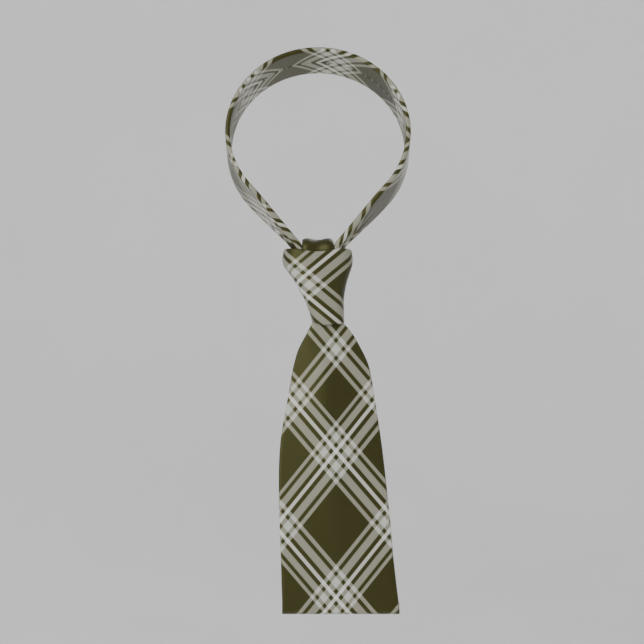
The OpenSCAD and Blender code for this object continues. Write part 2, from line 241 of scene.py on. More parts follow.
def section(left, right, inner_left, inner_right, depth, crown=0.0, ridge=0.0, counts=(16, 8, 56)):
    """A folded strip's cross-section: from its inner left edge, out and round the left fold, over the
    face, and round the right fold back in. Returns x, depth behind the face, and distance across."""
    n_back, n_turn, n_face = counts
    r, reach = depth / 2, depth * PRESSED / 2
    round_it = math.pi * math.sqrt((r * r + reach * reach) / 2)
    turn = np.linspace(0, math.pi, n_turn + 2)[1:-1]
    back_left = np.linspace(inner_left, left + reach, n_back)
    face = np.linspace(left + reach, right - reach, n_face)
    back_right = np.linspace(right - reach, inner_right, n_back)
    s = np.where(face < ridge, (ridge - face) / (ridge - left), (face - ridge) / (right - ridge))
    tent = 1 - (np.sqrt(np.clip(s, 0, 1) ** 2 + 0.02) - 0.1414) / (math.sqrt(1.02) - 0.1414)
    x = np.r_[back_left, left + reach - reach * np.sin(turn), face,
              right - reach + reach * np.sin(turn), back_right]
    d = np.r_[np.full(n_back, 2 * r), r + r * np.cos(turn), -crown * tent, r - r * np.cos(turn),
              np.full(n_back, 2 * r)]
    part = round_it * turn / math.pi
    across = np.r_[2 * (left + reach) - round_it - back_left, left + reach - part[::-1], face,
                   right - reach + part, round_it + 2 * (right - reach) - back_right]
    return x, d, across


def tubes(name, paths, radius, material, sides=6):
    """Many lengths of round thread as one mesh, each tapered in at its ends."""
    verts, faces = [], []
    ring = [(math.cos(2 * math.pi * k / sides), math.sin(2 * math.pi * k / sides)) for k in range(sides)]
    for path in paths:
        path = np.array(path)
        way = unit(np.gradient(path, axis=0))
        side = unit(np.cross(way, (0.31, 0.52, 0.79)))
        other = np.cross(way, side)
        start = len(verts)
        for i, p in enumerate(path):
            r = radius * (0.55 if i in (0, len(path) - 1) else 1)
            verts += [p + r * (c * side[i] + s * other[i]) for c, s in ring]
        for i in range(len(path) - 1):
            for k in range(sides):
                a, b = start + i * sides + k, start + i * sides + (k + 1) % sides
                faces.append((a, a + sides, b + sides, b))
        faces.append(tuple(start + k for k in range(sides)))
        faces.append(tuple(start + (len(path) - 1) * sides + k for k in reversed(range(sides))))
    return new_object(name, verts, faces, material)


def distances(points):
    """How far each point of a line lies from its start, along it."""
    return np.r_[0, np.cumsum(np.linalg.norm(np.diff(points, axis=0), axis=1))]


def at_least(width, left, right):
    """Two edges, moved apart where they are closer than a least width."""
    middle = (left + right) / 2
    return (middle - width / 2, middle + width / 2) if right - left < width else (left, right)


def arc_stitch(start, end, rise, n=7):
    """One stitch, bowed out of the cloth."""
    start, end, rise = np.array(start), np.array(end), np.array(rise)
    return [start + (end - start) * t + rise * math.sin(math.pi * t) for t in np.linspace(0, 1, n)]


def fit(obj, body=None, blend=None, replaces=()):
    """Parents a piece to its body's empty, or with a blend bakes it in place unparented, and hides the CAD nodes
    it stands for.
    """
    if blend:
        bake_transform(obj)
    else:
        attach(obj, body)
    if replaces:
        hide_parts(*replaces)


# ------------------------ materials


def srgb(r, g, b):
    def linear(c):
        c = c / 255
        return c / 12.92 if c <= 0.04045 else ((c + 0.055) / 1.055) ** 2.4
    return (linear(r), linear(g), linear(b), 1)


def dimmed(colour, share):
    return (*[c * share for c in colour[:3]], 1)


class Nodes:
    """Short calls for building a material's node tree."""

    def __init__(self, name):
        self.material = bpy.data.materials.new(name)
        self.material.use_nodes = True
        self.tree = self.material.node_tree
        self.shader = self.tree.nodes["Principled BSDF"]

    def node(self, kind, **values):
        n = self.tree.nodes.new(kind)
        for key, value in values.items():
            setattr(n, key, value)
        return n

    def link(self, out, into):
        self.tree.links.new(out, into)

    def put(self, socket, value):
        if isinstance(value, bpy.types.NodeSocket):
            self.link(value, socket)
        else:
            socket.default_value = value

    def fill(self, node, **values):
        for key, value in values.items():
            self.put(node.inputs[key], value)

    def math(self, operation, a, b=0.0):
        n = self.node("ShaderNodeMath", operation=operation)
        self.put(n.inputs[0], a)
        self.put(n.inputs[1], b)
        return n.outputs[0]

    def wave(self, place, pitch):
        return self.math("SINE", self.math("MULTIPLY", place, 2 * math.pi / pitch))

    def ramp(self, value, stops):
        n = self.node("ShaderNodeValToRGB")
        elements = n.color_ramp.elements
        while len(elements) < len(stops):
            elements.new(0.5)
        for element, (place, colour) in zip(elements, sorted(stops)):
            element.position = place
            element.color = colour if len(colour) == 4 else (*colour, 1)
        self.link(value, n.inputs[0])
        return n.outputs[0]

    def shaded(self, colour, shade):
        """A colour multiplied by a grey."""
        grey = self.node("ShaderNodeCombineColor")
        for socket in grey.inputs[:3]:
            self.link(shade, socket)
        n = self.node("ShaderNodeMix", data_type="RGBA", blend_type="MULTIPLY")
        n.inputs[0].default_value = 1.0
        self.put(n.inputs[6], colour)
        self.link(grey.outputs[0], n.inputs[7])
        return n.outputs[2]

    def cloth(self):
        """The cloth's coordinates, and from them the distances across and along the tie."""
        n = self.node("ShaderNodeUVMap", uv_map="cloth")
        parts = self.node("ShaderNodeSeparateXYZ")
        self.link(n.outputs[0], parts.inputs[0])
        u, v = parts.outputs[0], parts.outputs[1]
        across = self.math("DIVIDE", self.math("SUBTRACT", u, v), RISE + FALL)
        along = self.math("DIVIDE", self.math("ADD", self.math("MULTIPLY", u, FALL),
                                              self.math("MULTIPLY", v, RISE)), RISE + FALL)
        return n.outputs[0], u, v, across, along

    def noise(self, vector, scale, detail=2.0, roughness=0.5):
        n = self.node("ShaderNodeTexNoise")
        self.fill(n, Vector=vector, Scale=scale, Detail=detail, Roughness=roughness)
        return n.outputs[0]

    def bump(self, height, strength, distance):
        n = self.node("ShaderNodeBump")
        self.fill(n, Strength=strength, Distance=distance, Height=height)
        self.fill(self.shader, Normal=n.outputs[0])

    def colour(self, value):
        self.link(value, self.shader.inputs["Base Color"])

    def set(self, **values):
        names = {"rough": "Roughness", "specular": "Specular IOR Level", "sheen": "Sheen Weight",
                 "sheen_rough": "Sheen Roughness", "tint": "Specular Tint", "sheen_tint": "Sheen Tint"}
        for key, value in values.items():
            self.put(self.shader.inputs[names[key]], value)


# Half of the repeat of stripes, from the middle of the widest gap: start, end and cover of each,
# in millimetres along the tie
HALF_REPEAT = 126.0
SINGLE, BRIGHT = 0.483, 0.72
STRIPES = [
    (29.2, 33.6, SINGLE), (37.7, 46.1, SINGLE), (50.8, 54.9, BRIGHT), (59.3, 66.5, SINGLE),
    (70.3, 74.1, SINGLE), (113.2, 117.5, SINGLE), (121.6, 126.0, SINGLE),
]
EDGE = 0.3                 # softness of a printed edge, in millimetres
OLIVE, CREAM = (42, 40, 17), (255, 255, 252)
REFLECT = 0.64             # the cloth's own share of light, as its colours are given as seen


def stripe_cover(n, place):
    """How much cream one family of stripes lays down at a place, from 0 to 1."""
    folded = n.math("PINGPONG", place, HALF_REPEAT * MM)
    share = n.math("DIVIDE", folded, HALF_REPEAT * MM)
    stops = [(0.0, (0, 0, 0))]
    for low, high, cover in STRIPES:
        levels = [(low - EDGE, 0), (low + EDGE, cover), (high - EDGE, cover), (high + EDGE, 0)]
        stops += [(at / HALF_REPEAT, (grey,) * 3) for at, grey in levels[:4 if high < HALF_REPEAT else 2]]
    return n.ramp(share, stops)


def plaid_material():
    n = Nodes("printed_cloth")
    uv, u, v, across, along = n.cloth()
    bare = n.math("MULTIPLY", n.math("SUBTRACT", 1.0, stripe_cover(n, u)),
                  n.math("SUBTRACT", 1.0, stripe_cover(n, v)))
    cover = n.math("SUBTRACT", 1.0, bare)
    stops = []
    for share in (0.0, 0.1, 0.2, 0.3, 0.4, SINGLE, 0.6, BRIGHT, 0.8, 0.9, 1.0):
        mixed = [o + (c - o) * share for o, c in zip(OLIVE, CREAM)]
        stops.append((share, dimmed(srgb(*mixed), REFLECT)))
    colour = n.ramp(cover, stops)
    # a fine ribbed silk: ribs across the tie, with the warp ends between them
    rib = n.wave(along, 0.72 * MM)
    end = n.wave(across, 0.4 * MM)
    weave = n.math("ADD", rib, n.math("MULTIPLY", end, 0.5))
    slub = n.noise(uv, 1100.0, 3.0, 0.6)
    mottle = n.noise(uv, 55.0, 3.0, 0.55)
    shade = n.math("ADD", n.math("MULTIPLY", weave, 0.03), 1.0)
    shade = n.math("ADD", shade, n.math("MULTIPLY", n.math("SUBTRACT", slub, 0.5), 0.2))
    shade = n.math("ADD", shade, n.math("MULTIPLY", n.math("SUBTRACT", mottle, 0.5), 0.06))
    n.colour(n.shaded(colour, shade))
    n.set(rough=n.math("ADD", n.math("MULTIPLY", slub, 0.1), 0.34), specular=0.32, tint=(1, 1, 0.45, 1),
          sheen=0.02, sheen_rough=0.4)
    n.bump(n.math("ADD", weave, slub), 0.25, 0.06 * MM)
    return n.material


def satin_material():
    """The lining: a fine warp-faced satin in a darker tone of the cloth."""
    n = Nodes("lining_satin")
    uv, _, _, across, _ = n.cloth()
    warp = n.wave(across, 0.35 * MM)
    streak = n.noise(uv, 500.0, 2.0)
    shade = n.math("ADD", n.math("MULTIPLY", warp, 0.08), streak)
    n.colour(n.ramp(shade, [(0.2, srgb(44, 43, 23)), (0.8, srgb(70, 68, 40))]))
    n.set(rough=n.math("ADD", n.math("MULTIPLY", streak, 0.15), 0.22), sheen=0.1, sheen_rough=0.3)
    n.bump(warp, 0.3, 0.05 * MM)
    return n.material


def canvas_material():
    """The interlining: a brushed wool and cotton canvas in an open plain weave."""
    n = Nodes("interlining")
    uv, _, _, across, along = n.cloth()
    weave = n.math("MULTIPLY", n.wave(across, 1.1 * MM), n.wave(along, 1.1 * MM))
    fuzz = n.noise(uv, 1200.0, 4.0, 0.7)
    shade = n.math("ADD", n.math("MULTIPLY", weave, 0.25), fuzz)
    n.colour(n.ramp(shade, [(0.1, srgb(196, 189, 170)), (0.9, srgb(236, 231, 216))]))
    n.set(rough=0.92, sheen=0.3, sheen_rough=0.5)
    n.bump(shade, 0.6, 0.2 * MM)
    return n.material


def thread_material(name, dark, light):
    """Sewing thread: two plies twisted together."""
    n = Nodes(name)
    place = n.node("ShaderNodeTexCoord")
    ply = n.node("ShaderNodeTexWave", bands_direction="DIAGONAL")
    n.fill(ply, Vector=place.outputs["Object"], Scale=900.0, Distortion=1.0)
    n.colour(n.ramp(ply.outputs["Fac"], [(0.0, dark), (1.0, light)]))
    n.set(rough=0.5, sheen=0.2, sheen_rough=0.4)
    n.bump(ply.outputs["Fac"], 0.5, 0.04 * MM)
    return n.material


def tape_material(name, dark, light):
    """A plain woven label tape with ribs across it."""
    n = Nodes(name)
    uv, _, _, _, along = n.cloth()
    rib = n.wave(along, 0.5 * MM)
    grain = n.noise(uv, 1500.0, 2.0)
    shade = n.math("ADD", n.math("MULTIPLY", rib, 0.15), grain)
    n.colour(n.ramp(shade, [(0.2, dark), (0.8, light)]))
    n.set(rough=0.42, sheen=0.15, sheen_rough=0.4)
    n.bump(rib, 0.4, 0.06 * MM)
    return n.material


PLAID = plaid_material()
SATIN = satin_material()
CANVAS = canvas_material()
THREAD = thread_material("thread", srgb(150, 146, 122), srgb(205, 201, 178))
DARK_THREAD = thread_material("thread_dark", srgb(40, 39, 22), srgb(72, 70, 42))
TAPE = tape_material("label_tape", srgb(30, 30, 26), srgb(52, 51, 44))
PALE_TAPE = tape_material("label_tape_pale", srgb(205, 203, 194), srgb(240, 239, 232))

# ------------------------ camera, floor and light


def add_camera():
    """Straight on, as the tie is seen, with the knot in the middle of the picture."""
    picture_width = 463.7 * MM
    data = bpy.data.cameras.new("camera")
    data.lens = 120.0
    data.sensor_width = 36.0
    camera = bpy.data.objects.new("camera", data)
    bpy.context.scene.collection.objects.link(camera)
    distance = picture_width * data.lens / data.sensor_width
    camera.location = (2.9 * MM, BLADE_Y - distance, KNOT_LOW + 1.4 * MM)
    camera.rotation_euler = (math.radians(90), 0, 0)
    bpy.context.scene.camera = camera


def add_room():
    """A pale round floor that curves up into a wall, far enough out to clear every view."""
    n = Nodes("floor")
    place = n.node("ShaderNodeTexCoord")
    grain = n.noise(place.outputs["Object"], 3.0, 3.0)
    n.colour(n.ramp(grain, [(0.2, srgb(236, 236, 237)), (0.8, srgb(242, 242, 242))]))
    n.set(rough=0.9, specular=0.2)
    floor_z, radius, curve, top = -0.9, 4.2, 1.2, 3.2
    profile = [(0.0, floor_z), (1.5, floor_z), (radius - curve, floor_z)]
    profile += [(radius - curve + curve * math.sin(a), floor_z + curve - curve * math.cos(a))
                for a in np.linspace(0.1, math.pi / 2, 14)]
    profile.append((radius, top))
    turns = 64
    points = [(r * math.cos(2 * math.pi * k / turns), r * math.sin(2 * math.pi * k / turns), z)
              for r, z in profile for k in range(turns)]
    faces = [(a + k, a + (k + 1) % turns, a + turns + (k + 1) % turns, a + turns + k)
             for a in range(0, (len(profile) - 1) * turns, turns) for k in range(turns)]
    new_object("floor", points, faces, n.material)


def area_light(name, azimuth, elevation, distance, size, power):
    """A round soft light aimed at the blade. Azimuth 0 is straight in front, and right is positive."""
    target = Vector((0.01, BLADE_Y, -0.2))
    a, e = math.radians(azimuth), math.radians(elevation)
    place = target + distance * Vector((math.sin(a) * math.cos(e), -math.cos(a) * math.cos(e), math.sin(e)))
    data = bpy.data.lights.new(name, "AREA")
    data.shape = "DISK"
    data.size = size
    data.energy = power
    light = bpy.data.objects.new(name, data)
    bpy.context.scene.collection.objects.link(light)
    light.location = place
    light.rotation_euler = (target - place).to_track_quat("-Z", "Y").to_euler()


def add_lights():
    area_light("key", -34, 8, 2.4, 0.7, 26)
    area_light("high", -40, 48, 2.4, 1.0, 34)
    area_light("fill", 50, 20, 2.4, 1.4, 12)
    area_light("behind", 150, 35, 2.4, 1.4, 40)
    world = bpy.data.worlds.new("world")
    world.use_nodes = True
    world.node_tree.nodes["Background"].inputs[0].default_value = (1, 1, 1, 1)
    world.node_tree.nodes["Background"].inputs[1].default_value = 0.62
    bpy.context.scene.world = world


add_camera()
add_room()
add_lights()

# ------------------------ blade

CROWN = 3.6 * MM           # how far the ridge of the blade stands proud
V_TOP = FOLD_Z + 62 * MM   # the seam behind is closed down to here, then opens
V_HALF = 13 * MM
HEM = 9 * MM


def ridge_x(z):
    """The blade's soft ridge leans a little to the right on its way down."""
    return np.interp(z, [FOLD_Z, -0.279, -0.186, KNOT_LOW], [15 * MM, 13.5 * MM, 6 * MM, 5 * MM])


def crown_at(z):
    """The ridge is full near the knot and dies away at the pressed fold."""
    fade = 0.08 + 0.92 * smoothstep((z - FOLD_Z - 6 * MM) / (90 * MM))
    pinch = 0.35 + 0.65 * smoothstep((KNOT_LOW - z) / (30 * MM))
    return CROWN * fade * pinch


def slit_edges(z):
    """Where the two turned edges of the cloth end behind: together, then apart in a long V."""
    left, right = blade_edges(z)
    opening = float(np.clip((V_TOP - z) / (V_TOP - FOLD_Z), 0, 1))
    middle = tail_middle(z) * (1 - opening) + (left + right) / 2 * opening
    half = 0.4 * MM + V_HALF * opening
    return middle - half, middle + half


def face_inset(z):
    """The face starts a little behind the fold's front at its edges, as the ridge takes the front."""
    near_knot = smoothstep((z - KNOT_LOW + 3 * MM) / (5 * MM))
    return 0.9 * MM * smoothstep((z - FOLD_Z) / (40 * MM)) + 0.5 * MM * near_knot


def blade_row(z):
    left, right = blade_edges(z)
    inset = face_inset(z)
    depth = BLADE_BACK - BLADE_Y - inset
    x, d, across = section(left, right, *slit_edges(z), depth, crown_at(z), ridge_x(z))
    near_knot = smoothstep((z - KNOT_LOW + 34 * MM) / (34 * MM))
    face = (d <= 0.01 * MM) & (np.abs(d) < CROWN * 1.1)
    pleat = 0.35 * MM * near_knot * np.cos((x - ridge_x(z)) / (right - left) * 3.4 * math.pi)
    return x, d + inset + np.where(face, pleat, 0), across


def make_blade():
    upper = np.linspace(KNOT_LOW + 7 * MM, KNOT_LOW - 20 * MM, 34)
    points, uv = [], []
    for z in np.r_[upper, np.linspace(upper[-1], SEAM_Z, 92)[1:]]:
        x, d, across = blade_row(z)
        points.append(level(x, BLADE_Y + d, z))
        uv.append(blade_cloth(across, z))
    obj = sheet("blade_cloth", points, uv, PLAID)
    bend = ("knot", "front_blade", (0, 0, BEND_Z + 5.5 * MM), (0, 0, BEND_Z - 19 * MM))
    fit(obj, blend=bend, replaces=("blade_shell", "blade_neck"))

    points, uv = [], []
    for z in np.linspace(BEND_Z - 20 * MM, FOLD_Z + 1 * MM, 80):
        left, right = blade_edges(z)
        x = np.linspace(left + 2 * MM, right - 2 * MM, 50)
        peak = ridge_x(z)
        s = np.where(x < peak, (peak - x) / (peak - left), (x - peak) / (right - peak))
        points.append(level(x, BLADE_Y + face_inset(z) + 0.85 * MM - crown_at(z) * (1 - s) * 0.85, z))
        uv.append(strap_cloth(x, -z, 0))
    obj = sheet("blade_interlining_cloth", points, uv, CANVAS, 0.7 * MM, (0, 1, 0))
    fit(obj, "front_blade", replaces=("blade_interlining",))

    def under_slit(z):
        a, b = slit_edges(z)
        return np.linspace(a - 2.5 * MM, b + 2.5 * MM, 24)

    obj = flat_layer("blade_lining_cloth", np.linspace(V_TOP - 2 * MM, FOLD_Z + 1 * MM, 40), under_slit,
                     BLADE_BACK - 1.0 * MM, SATIN, 0.25 * MM, (0, -1, 0))
    fit(obj, "front_blade", replaces=("blade_tipping",))


def stitch(x, y, z, half, rise, n=7):
    """One stitch behind the cloth: half its run across and along, and how far it stands out."""
    return arc_stitch((x - half[0], y, z - half[1]), (x + half[0], y, z + half[1]), (0, rise, 0), n)


def make_blade_sewing():
    y = BLADE_BACK + 0.05 * MM
    stitches = [stitch(tail_middle(z), y, z, (1.3 * MM, -0.7 * MM), 0.2 * MM)
                for z in np.arange(BEND_Z - 26 * MM, FOLD_Z + 76 * MM, -7.5 * MM)]
    fit(tubes("blade_slip_stitches", stitches, 0.17 * MM, THREAD), "front_blade",
        replaces=("blade_slip_stitch",))
    fit(bar_tack("blade_tack", tail_middle(V_TOP), y, V_TOP + 2 * MM, 9 * MM), "front_blade",
        replaces=("blade_bar_tack",))


def bar_tack(name, x, y, z, width):
    """A dense zigzag over two long stitches."""
    n = 13
    paths = [stitch(x, y, z + dz, (width / 2, 0), 0.12 * MM, 9) for dz in (-0.3 * MM, 0.3 * MM)]
    paths += [stitch(x - width / 2 + width * (k + 0.5) / n, y, z, (0.15 * MM, 0.8 * MM), 0.28 * MM, 5)
              for k in range(n)]
    return tubes(name, paths, 0.14 * MM, THREAD, 5)


make_blade()
make_blade_sewing()

# ------------------------ the fold and the tip tucked up behind it

SHOULDER = FOLD_Z + 9 * MM
TIP_X = 19.5 * MM
FOLD_DROP = 2.2 * MM       # the fold's lower edge is pressed a little longer than round
FOLD_LOW = FOLD_Z - FOLD_R - FOLD_DROP
# Bodies and points of a blend about the fold's axis, one point in front of it and one behind it; fit only bakes
# the layers that take it in place
FOLD_BLEND = ("front_blade", "tip_flap", (0, FOLD_Y - 3.7 * MM, FOLD_Z), (0, FOLD_Y + 3.7 * MM, FOLD_Z))


def fold_path(radius, start, top, step):
    """Points (y, z, distance) down the front, round the fold and up behind it, and which way is in."""
    down = np.linspace(start, FOLD_Z, max(2, int((start - FOLD_Z) / step) + 1))[:-1] if start > FOLD_Z else []
    turn = np.linspace(0, math.pi, 45)
    c, s = np.cos(turn), np.sin(turn)
    e = 2 / 4.2
    y_turn = FOLD_Y - radius * np.sign(c) * np.abs(c) ** e
    z_turn = FOLD_Z - (radius + FOLD_DROP) * np.abs(s) ** e
    up = np.linspace(FOLD_Z, top, int((top - FOLD_Z) / step) + 2)[1:]
    y = np.r_[np.full(len(down), FOLD_Y - radius), y_turn, np.full(len(up), FOLD_Y + radius)]
    z = np.r_[down, z_turn, up]
    far = np.r_[0, np.cumsum(np.hypot(np.diff(y), np.diff(z)))]
    way = unit(np.gradient(np.stack([y, z], -1), axis=0))
    inward = np.stack([-way[:, 1], way[:, 0]], -1)
    behind = np.r_[np.zeros(len(down)), turn / math.pi, np.ones(len(up))]
    return y, z, far, inward, behind


def tip_edges(z, inset=0.0):
    """Left and right edges of the tip at a height behind the fold."""
    left, right = blade_edges(FOLD_LOW)
    peak = tip_high.z - inset * 1.4
    share = np.clip((peak - z) / (peak - SHOULDER), 0, 1)
    low, high = blade_edges(z)
    return (np.maximum(TIP_X + (left + inset - TIP_X) * share, low + 0.6 * MM + inset),
            np.minimum(TIP_X + (right - inset - TIP_X) * share, high - 0.6 * MM - inset))


def make_tip():
    """The printed cloth round the fold, with its edges turned in as a hem."""
    y, z, far, inward, behind = fold_path(FOLD_R, SEAM_Z, tip_high.z - 0.3 * MM, 1.6 * MM)
    full_depth = BLADE_BACK - BLADE_Y
    points, uv = [], []
    for i in range(len(y)):
        if behind[i] == 0 and z[i] > FOLD_Z + 0.1 * MM:
            x, d, across = blade_row(z[i])
        else:
            open_out = smoothstep(behind[i] * 2.2)
            if behind[i] == 1:
                left, right = tip_edges(z[i])
            else:
                left, right = blade_edges(z[i] if behind[i] < 0.5 else FOLD_LOW)
            left, right = at_least(1.2 * MM, left, right)
            depth = min(full_depth * (1 - open_out) + 1.5 * MM * open_out, (right - left) * 0.45)
            a, b = slit_edges(FOLD_Z)
            hem = (a - left) * (1 - open_out) + HEM * open_out
            hem = min(max(hem, depth / 2), (right - left) / 2 - 0.05 * MM)
            crown = crown_at(FOLD_Z) * (1 - open_out)
            x, d, across = section(left, right, left + hem, right - hem, depth, crown, ridge_x(FOLD_Z))
        points.append(np.stack([x, y[i] + inward[i, 0] * d, z[i] + inward[i, 1] * d], -1))
        uv.append(blade_cloth(across, SEAM_Z - far[i]))
    obj = sheet("tip_cloth", points, uv, PLAID, 0.6 * MM)
    fit(obj, blend=FOLD_BLEND, replaces=("blade_fold", "tip_shell", "tip_hem"))


def make_tip_layer(name, radius, inset, material, nodes, thickness):
    """A flat layer inside the fold and the tip, such as the lining."""
    y, z, far, _, behind = fold_path(radius, FOLD_Z, tip_high.z - inset * 1.6, 2 * MM)
    points, uv = [], []
    for i in range(len(y)):
        edges = tip_edges(z[i] if behind[i] == 1 else FOLD_Z, inset)
        x = np.linspace(*at_least(1 * MM, *edges), 44)
        points.append(level(x, y[i], z[i]))
        uv.append(strap_cloth(x, far[i], 0))
    obj = sheet(name, points, uv, material, thickness)
    fit(obj, blend=FOLD_BLEND, replaces=nodes)


make_tip()


def make_tip_sewing():
    """Fine stitches that hold the lining to the hem, along both sides of the tip."""
    y = FOLD_Y + FOLD_R - 2.35 * MM
    stitches = []
    for side, lean in ((0, 0.8 * MM), (1, -0.8 * MM)):
        for t in np.linspace(0.04, 0.93, 24):
            z = SHOULDER + (tip_high.z - 5 * MM - SHOULDER) * t
            x = tip_edges(z, 4.2 * MM)[side]
            stitches.append(stitch(x, y, z + 0.25 * MM, (lean, 0.25 * MM), -0.12 * MM, 5))
    fit(tubes("tip_hem_stitches", stitches, 0.12 * MM, DARK_THREAD, 5), "tip_flap")


make_tip_layer("tip_interlining_cloth", FOLD_R - 1.0 * MM, 2.4 * MM, CANVAS,
               ("tip_interlining", "fold_interlining"), 0.5 * MM)
make_tip_layer("tip_lining_cloth", FOLD_R - 2.0 * MM, 3.4 * MM, SATIN,
               ("tip_tipping",), 0.3 * MM)
make_tip_sewing()

# ------------------------ tail


def strip(name, heights, widths, front, depth):
    """A hanging strip of the tail, folded so that its edges meet along the middle behind."""
    points, uv = [], []
    for z, w in zip(heights, widths):
        m = tail_middle(z)
        x, d, across = section(m - w / 2, m + w / 2, m - 0.3 * MM, m + 0.3 * MM, depth, counts=(10, 6, 26))
        points.append(level(x, front + d, z))
        uv.append(strap_cloth(across - m, -z, 0.22))
    return sheet(name, points, uv, PLAID, 0.6 * MM)


def tail_width(z):
    return np.interp(z, [tail_high.z, KNOT_LOW], [TAIL_W, 15 * MM])


def make_tail():
    front, depth = TAIL_Y + 0.1 * MM, TAIL_BACK - TAIL_Y - 0.2 * MM
    stub_low = BEND_Z - 14 * MM
    heights = np.linspace(KNOT_LOW + 7 * MM, stub_low, 20)
    stub = strip("tail_strap_top", heights, tail_width(heights), front, depth)
    bend = ("knot", "front_blade", (0, 0, BEND_Z + 5.5 * MM), (0, 0, stub_low + 0.5 * MM))
    fit(stub, blend=bend)
    strap = np.linspace(stub_low + 0.1 * MM, tail_high.z, 30)
    heights = np.r_[strap, np.linspace(tail_high.z, FOLD_Z, 70)[1:]]
    cloth = strip("tail_cloth", heights, tail_width(heights), front, depth)
    # a blend is steepest at 1.5 times its mean, so a span this long would not turn over as it closes up; fit only
    # bakes the cloth in place
    slack = 1.6 * joint["tail_slide"]["range_m"][1]
    draw = ("front_blade", "tail", (0, 0, stub_low - 1 * MM), (0, 0, stub_low - slack))
    fit(cloth, blend=draw, replaces=("tail_shell", "tail_strap"))
    core_top = stub_low - slack
    across = np.linspace(-TAIL_W / 2 + 1.6 * MM, TAIL_W / 2 - 1.6 * MM, 24)
    core = flat_layer("tail_interlining_cloth", np.linspace(core_top, FOLD_Z + 1 * MM, 50),
                      lambda z: tail_middle(z) + across, front + 0.85 * MM, CANVAS, 0.7 * MM, (0, 1, 0))
    fit(core, "tail", replaces=("tail_interlining",))
    stitches = [stitch(tail_middle(z), TAIL_BACK - 0.1 * MM, z, (1.1 * MM, -0.6 * MM), 0.12 * MM)
                for z in np.arange(core_top - 2 * MM, FOLD_Z + 4 * MM, -7.5 * MM)]
    fit(tubes("tail_slip_stitches", stitches, 0.12 * MM, THREAD), "tail",
        replaces=("tail_slip_stitch",))


END_R = end_high.y - FOLD_Y    # the tail's end turns at this distance from the fold's axis
POINT_Z = end_high.z - TAIL_W / 2


def end_half(z, inset=0.0):
    peak = end_high.z - inset * 1.4
    return max((TAIL_W / 2 - inset) * float(np.clip((peak - z) / (peak - POINT_Z), 0, 1)), 0.6 * MM)


def make_tail_end():
    """The tail turned up inside the blade's fold, and its pointed end."""
    middle = (end_low.x + end_high.x) / 2
    y, z, far, inward, behind = fold_path(END_R, FOLD_Z, end_high.z - 0.3 * MM, 1.8 * MM)
    tail_depth = TAIL_BACK - TAIL_Y - 0.2 * MM
    points, uv = [], []
    for i in range(len(y)):
        half = end_half(z[i]) if behind[i] == 1 else TAIL_W / 2
        open_out = smoothstep((z[i] - FOLD_Z - 42 * MM) / (24 * MM)) if behind[i] == 1 else 0
        depth = min(tail_depth * (1 - open_out) + 1.5 * MM * open_out, half * 0.9)
        hem = min((half - 0.3 * MM) * (1 - open_out) + 7 * MM * open_out, half - 0.05 * MM)
        x, d, across = section(-half, half, -half + hem, half - hem, depth, counts=(10, 6, 26))
        points.append(np.stack([middle + x, y[i] + inward[i, 0] * d, z[i] + inward[i, 1] * d], -1))
        uv.append(strap_cloth(across, -FOLD_Z + far[i], 0.22))
    cloth = sheet("tail_end_cloth", points, uv, PLAID, 0.5 * MM)
    bend = ("tail", "tail_end", (0, FOLD_Y - 0.7 * MM, FOLD_Z), (0, FOLD_Y + 0.7 * MM, FOLD_Z))
    fit(cloth, blend=bend, replaces=("tail_end_shell", "tail_fold"))
    layers = [("tail_end_interlining_cloth", 0.75 * MM, 1.8 * MM, 0.5 * MM, CANVAS, "interlining",
               "tail_end_interlining", FOLD_Z + 1 * MM),
              ("tail_lining_cloth", 1.6 * MM, 2.6 * MM, 0.25 * MM, SATIN, "lining_satin",
               "tail_tipping", FOLD_Z + 44 * MM)]
    for name, behind_face, inset, thick, material, slot_name, node, low in layers:
        def across_at(z):
            half = end_half(z, inset)
            return middle + np.linspace(-half, half, 22)

        obj = flat_layer(name, np.linspace(low, end_high.z - inset * 1.6, 40), across_at,
                         end_high.y - behind_face, material, thick, (0, -1, 0), way=1)
        fit(obj, "tail_end", replaces=(node,))
    inner_y = end_high.y - tail_depth
    tack = bar_tack("tail_end_tack", middle, inner_y + 0.1 * MM, FOLD_Z + 46 * MM, 7 * MM)
    fit(tack, "tail_end", replaces=("tail_bar_tack",))
    flat_label("care_label_tape", care_low, care_high, inner_y, -1, PALE_TAPE, "tail_end", "care_label")


def flat_label(name, low, high, y, out, material, body, node):
    """A plain woven label on the side out (1 behind, -1 in front), with stitches along its two ends."""
    x = np.linspace(low.x, high.x, 16)
    bow = 0.05 * MM * np.sin((x - low.x) / (high.x - low.x) * math.pi)
    tape = flat_layer(name, np.linspace(high.z, low.z, 24), lambda z: x, y + out * (0.26 * MM + bow),
                      material, 0.22 * MM, (0, -out, 0))
    fit(tape, body, replaces=(node,))
    stitches = [stitch(a + 0.55 * MM, y + out * 0.22 * MM, z, (0.55 * MM, 0), out * 0.12 * MM, 5)
                for z in (low.z + 1.3 * MM, high.z - 1.3 * MM)
                for a in np.arange(low.x + 0.8 * MM, high.x - 1.2 * MM, 1.7 * MM)]
    fit(tubes(name + "_stitches", stitches, 0.08 * MM, THREAD, 5), body)


